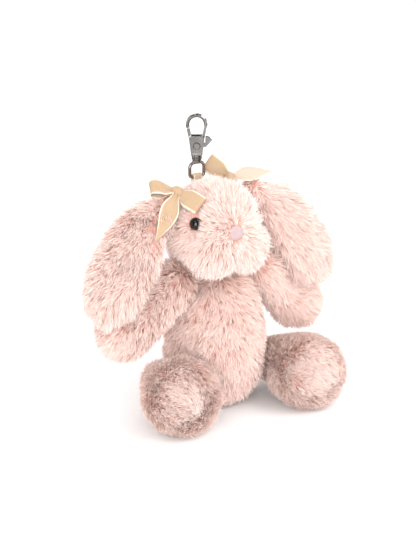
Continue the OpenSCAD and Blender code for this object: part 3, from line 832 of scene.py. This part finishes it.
# A loop: where it ends from the knot in mm, the way it faces, half its thickness, the
# depth of its creases and their seed. A tail: its two ends, the way it faces, its arch.
for side, loops, tail in (
        ("right",
         (((4.2, -10.3, -3.4), (-0.65, -0.28, 0.71), 1.3 * mm, 0.12 * mm, 3),
          ((-9.2, 3.1, 2.0), (0, -0.5, 0.85), 2.2 * mm, 0.75 * mm, 4)),
         ((-1.6, -2.2, -0.4), (-21.2, -16.4, -18.6), (-0.16, -0.93, 0.32), 1.2 * mm)),
        ("left",
         (((-5.3, 7.9, 5.5), (-0.55, -0.68, 0.44), 1.8 * mm, 0.2 * mm, 5),
          ((5.0, 10.5, -4.0), (0.5, 0.1, 0.86), 1.5 * mm, 0.5 * mm, 6)),
         ((1.4, -0.2, 1.0), (24.5, -2.4, 1.2), (-0.1, 0.6, -0.8), -0.8 * mm))):
    knot = box_middle(f"{side}_bow_knot")
    made = [ribbon_loop(knot, *loop) for loop in loops]
    bow = joined(f"{side}_bow_ribbon", [piece for piece, _ in made], velvet, satin, backing)
    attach(bow, "torso")
    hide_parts(f"{side}_bow_loops")

    piece, length = ribbon_tail(knot, *tail, 8)
    strip = joined(f"{side}_bow_end", [piece], velvet, satin, backing)
    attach(strip, "torso")
    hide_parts(f"{side}_bow_tail")

    line = np.array(loops[0][0]) - np.array(loops[1][0])
    pad = joined(f"{side}_bow_wrap", [wrapped_knot(knot, line, len(side))], velvet)
    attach(pad, "torso")
    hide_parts(f"{side}_bow_knot")

# ---------- hanging loop ----------
# The same ribbon folded lengthwise to 5 mm, over the clasp's bar and down into the
# head's seam on both sides.
bar = np.array(hinge["bail"])
low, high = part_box("hanging_loop")
bend_r = 1.45 * mm
arc = np.radians(np.linspace(180, 0, 15))
path = np.concatenate([
    [(-bend_r, -7.9 * mm)], np.stack([bend_r * np.cos(arc), bend_r * np.sin(arc)], 1),
    [(bend_r, low[2] - bar[2])]])
path, loop_length = even_steps(path)
way = unit(np.gradient(path, axis=0))
spine = bar + np.stack([np.zeros(len(path)), path[:, 0], path[:, 1]], 1)
outward = np.stack([np.zeros(len(path)), -way[:, 1], way[:, 0]], 1)
# The folded strip's outline, sideways and outward in mm, with its slit at one edge.
folded = np.array([(-2.5, 0.38), (-2.1, 0.4), (2.2, 0.4), (2.5, 0.25), (2.5, -0.25), (2.2, -0.4),
                   (-2.1, -0.4), (-2.5, -0.38), (-2.5, -0.06), (2.0, -0.06), (2.0, 0.06),
                   (-2.5, 0.06)]) * mm
sideways = unit(np.cross(np.stack([np.zeros(len(path)), way[:, 0], way[:, 1]], 1), outward))
strap = joined("hanging_ribbon",
               [swept(spine, sideways, outward, np.broadcast_to(folded, (len(spine), 12, 2)),
                      [1, 0, 0, 0, 0, 0, 1, 1, 2, 2, 2, 1])], velvet, satin, backing)
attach(strap, "torso")
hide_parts("hanging_loop")

# ---------- clasp ----------
# A trigger snap of die-cast zinc: hook, swivel eye, lever and rivet, with a wound
# steel spring behind the lever.

# Bright nickel plate over a cast face: a mirror that the casting dulls in patches
# 4 mm wide, and that handling has hazed with scuffs two thirds of a mm across.
plate, tree, shader = new_material("nickel-plated zinc")
spot = node(tree, "TexCoord").outputs["Object"]
cast = node(tree, "TexNoise", {"Vector": spot, "Scale": 1 / (3.85 * mm), "Detail": 4})
scuff = node(tree, "TexNoise", {"Vector": spot, "Scale": 1 / (0.667 * mm), "Detail": 5})
tone = node(tree, "Mix", {0: cast.outputs[0], 6: linear("#8d8986"), 7: linear("#c6c2bf")},
            data_type="RGBA")
tree.links.new(tone.outputs[2], shader.inputs["Base Color"])
haze = node(tree, "MapRange", {0: scuff.outputs[0], 1: 0.35, 2: 0.75, 3: 0.06, 4: 0.2})
tree.links.new(haze.outputs[0], shader.inputs["Roughness"])
shader.inputs["Metallic"].default_value = 1

# Drawn steel wire, darker and oily, with draw marks a third of a mm long.
steel, tree, shader = new_material("spring steel")
draw = node(tree, "TexNoise", {"Vector": node(tree, "TexCoord").outputs["Object"],
                               "Scale": 1 / (0.333 * mm)})
tone = node(tree, "Mix", {0: draw.outputs[0], 6: linear("#4d4a49"), 7: linear("#77736f")},
            data_type="RGBA")
tree.links.new(tone.outputs[2], shader.inputs["Base Color"])
shader.inputs["Metallic"].default_value = 1
shader.inputs["Roughness"].default_value = 0.35

for name in ("swivel_eye", "clasp_hook", "clasp_gate", "gate_rivet"):
    finished(name, plate)
finished("gate_spring", steel)

# ---------- filling ----------
# What the skins hold: crimped polyester fibre everywhere, and a cotton pouch of
# pellets in the seat that keeps the toy upright.

# Carded polyester: matt, off-white and cloudy, with clumps 3 mm wide.
fibre, tree, shader = new_material("polyester fibrefill")
spot = node(tree, "TexCoord").outputs["Object"]
crimp = node(tree, "TexNoise", {"Vector": spot, "Scale": 1 / (2.86 * mm), "Detail": 6})
tone = node(tree, "Mix", {0: crimp.outputs[0], 6: linear("#e6e2d9"), 7: linear("#fbfaf7")},
            data_type="RGBA")
tree.links.new(tone.outputs[2], shader.inputs["Base Color"])
shader.inputs["Roughness"].default_value = 0.95

# Unbleached cotton, plain woven: dull, with threads drawn 1 mm apart so they show.
cotton, tree, shader = new_material("pouch cotton")
weave = node(tree, "TexWave", {"Vector": node(tree, "TexCoord").outputs["Object"],
                               "Scale": math.pi / 10 / (0.98 * mm), "Distortion": 0.4})
tone = node(tree, "Mix", {0: weave.outputs[0], 6: linear("#dcd5c6"), 7: linear("#f1ece1")},
            data_type="RGBA")
tree.links.new(tone.outputs[2], shader.inputs["Base Color"])
shader.inputs["Roughness"].default_value = 0.9

for name in ("head", "body", "right_arm", "left_arm", "right_leg", "left_leg", "tail"):
    finished(f"{name}_filling", fibre)
finished("pellet_pouch", cotton)

low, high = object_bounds()
